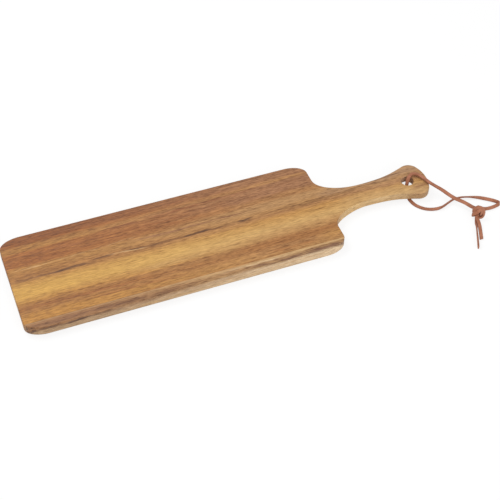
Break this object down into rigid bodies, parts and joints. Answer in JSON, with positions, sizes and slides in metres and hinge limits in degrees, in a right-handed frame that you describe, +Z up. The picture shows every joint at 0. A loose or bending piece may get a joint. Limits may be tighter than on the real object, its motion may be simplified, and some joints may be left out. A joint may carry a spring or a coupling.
{
  "type": "paddle serving board",
  "caption": "Long wooden paddle serving board of edge-glued staves with a waisted handle, and a knotted flat leather lace through the handle's hole for hanging it up.",
  "frame": {"origin": "on the table, under the middle of the board's length and width", "axes": "+X along the board towards the handle, +Y across it towards the back edge, +Z up through its thickness"},
  "size_m": [0.5672, 0.1874, 0.0161],
  "materials": {
    "back_wood": "oiled",
    "middle_wood": "oiled",
    "front_wood": "oiled",
    "lace_leather": "matt"
  },
  "bodies": {
    "board": {"back_stave": "back_wood", "middle_stave": "middle_wood", "front_stave": "front_wood"},
    "lace": {"lace_upper_run": "lace_leather", "lace_lower_run": "lace_leather", "lace_knot": "lace_leather", "lace_long_tail": "lace_leather", "lace_short_tail": "lace_leather"}
  },
  "joints": [
    {"name": "lace_swing", "type": "hinge", "parent": "board", "child": "lace", "pos_m": [0.226, 0, 0.007], "axis": [0, 0, 1], "range_deg": [-75, 160]}
  ]
}
